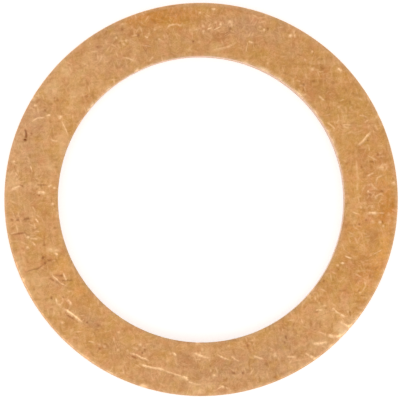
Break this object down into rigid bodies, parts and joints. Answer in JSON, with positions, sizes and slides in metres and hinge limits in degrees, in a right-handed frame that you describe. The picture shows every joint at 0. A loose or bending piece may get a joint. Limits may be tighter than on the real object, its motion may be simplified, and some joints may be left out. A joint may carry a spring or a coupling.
{
  "type": "drain plug seal ring",
  "caption": "Flat round ring of soft copper that is squeezed under the head of a drain plug, so that no oil passes the thread.",
  "frame": {"origin": "centre of the hole at the lower face, which is the face that the ring rests on", "axes": "+Z along the axis of the hole, from the lower face to the upper face with the rounded edges; the ring is the same all round, so +X and +Y are free, and the picture has +X to the right and +Y up"},
  "size_m": [0.022, 0.022, 0.0015],
  "materials": {
    "copper": "soft annealed copper, satin and lightly tarnished, with fine scratches and small nicks"
  },
  "bodies": {
    "root": {"seal_ring": "copper"}
  },
  "joints": []
}
